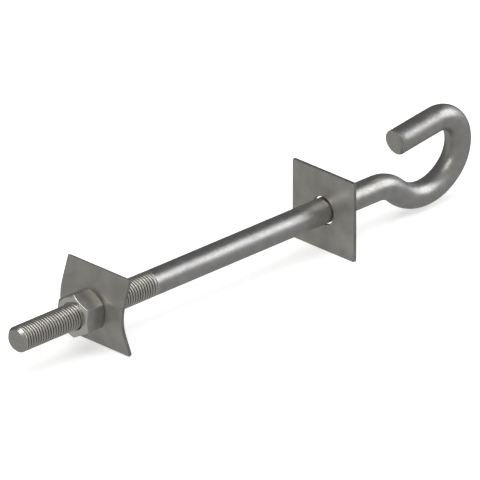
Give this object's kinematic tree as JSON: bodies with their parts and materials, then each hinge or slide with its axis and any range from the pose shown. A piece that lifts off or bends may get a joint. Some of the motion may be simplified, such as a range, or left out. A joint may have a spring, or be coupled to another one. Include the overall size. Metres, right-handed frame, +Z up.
{
  "type": "hook bolt with washers and nut",
  "caption": "Bent steel bar with an open hook at one end and a thread at the other, carrying a flat square washer, a curved square washer and a hexagon nut; hangs a load from a post.",
  "frame": {"origin": "on the bar's axis, in the face of the flat washer that bears on the post", "axes": "+X along the bar from the thread to the hook, +Z up, out of the hook's open side; the hook lies in the XZ plane"},
  "size_m": [0.3688, 0.05, 0.0612],
  "materials": {
    "bar_steel": "satin grey steel bar, dull zinc look",
    "plate_steel": "dull grey plate, faintly mottled",
    "nut_steel": "satin grey steel"
  },
  "bodies": {
    "bolt": {"hook_bolt": "bar_steel"},
    "front_washer": {"flat_washer": "plate_steel"},
    "back_washer": {"curved_washer": "plate_steel"},
    "nut": {"hex_nut": "nut_steel"}
  },
  "joints": [
    {"name": "flat_washer_slide", "type": "slide", "parent": "bolt", "child": "front_washer", "axis": [1, 0, 0], "range_m": [-0.13, 0.04]},
    {"name": "curved_washer_travel", "type": "slide", "parent": "bolt", "child": "back_washer", "axis": [1, 0, 0], "range_m": [-0.042, 0.044]},
    {"name": "nut_turn", "type": "hinge", "parent": "back_washer", "child": "nut", "pos_m": [-0.197, 0, 0], "axis": [1, 0, 0], "range_deg": [-7560, 7920]}
  ],
  "couplings": [
    {"joint": "curved_washer_travel", "follows": "nut_turn", "m_per_rad": 0.00031831}
  ]
}
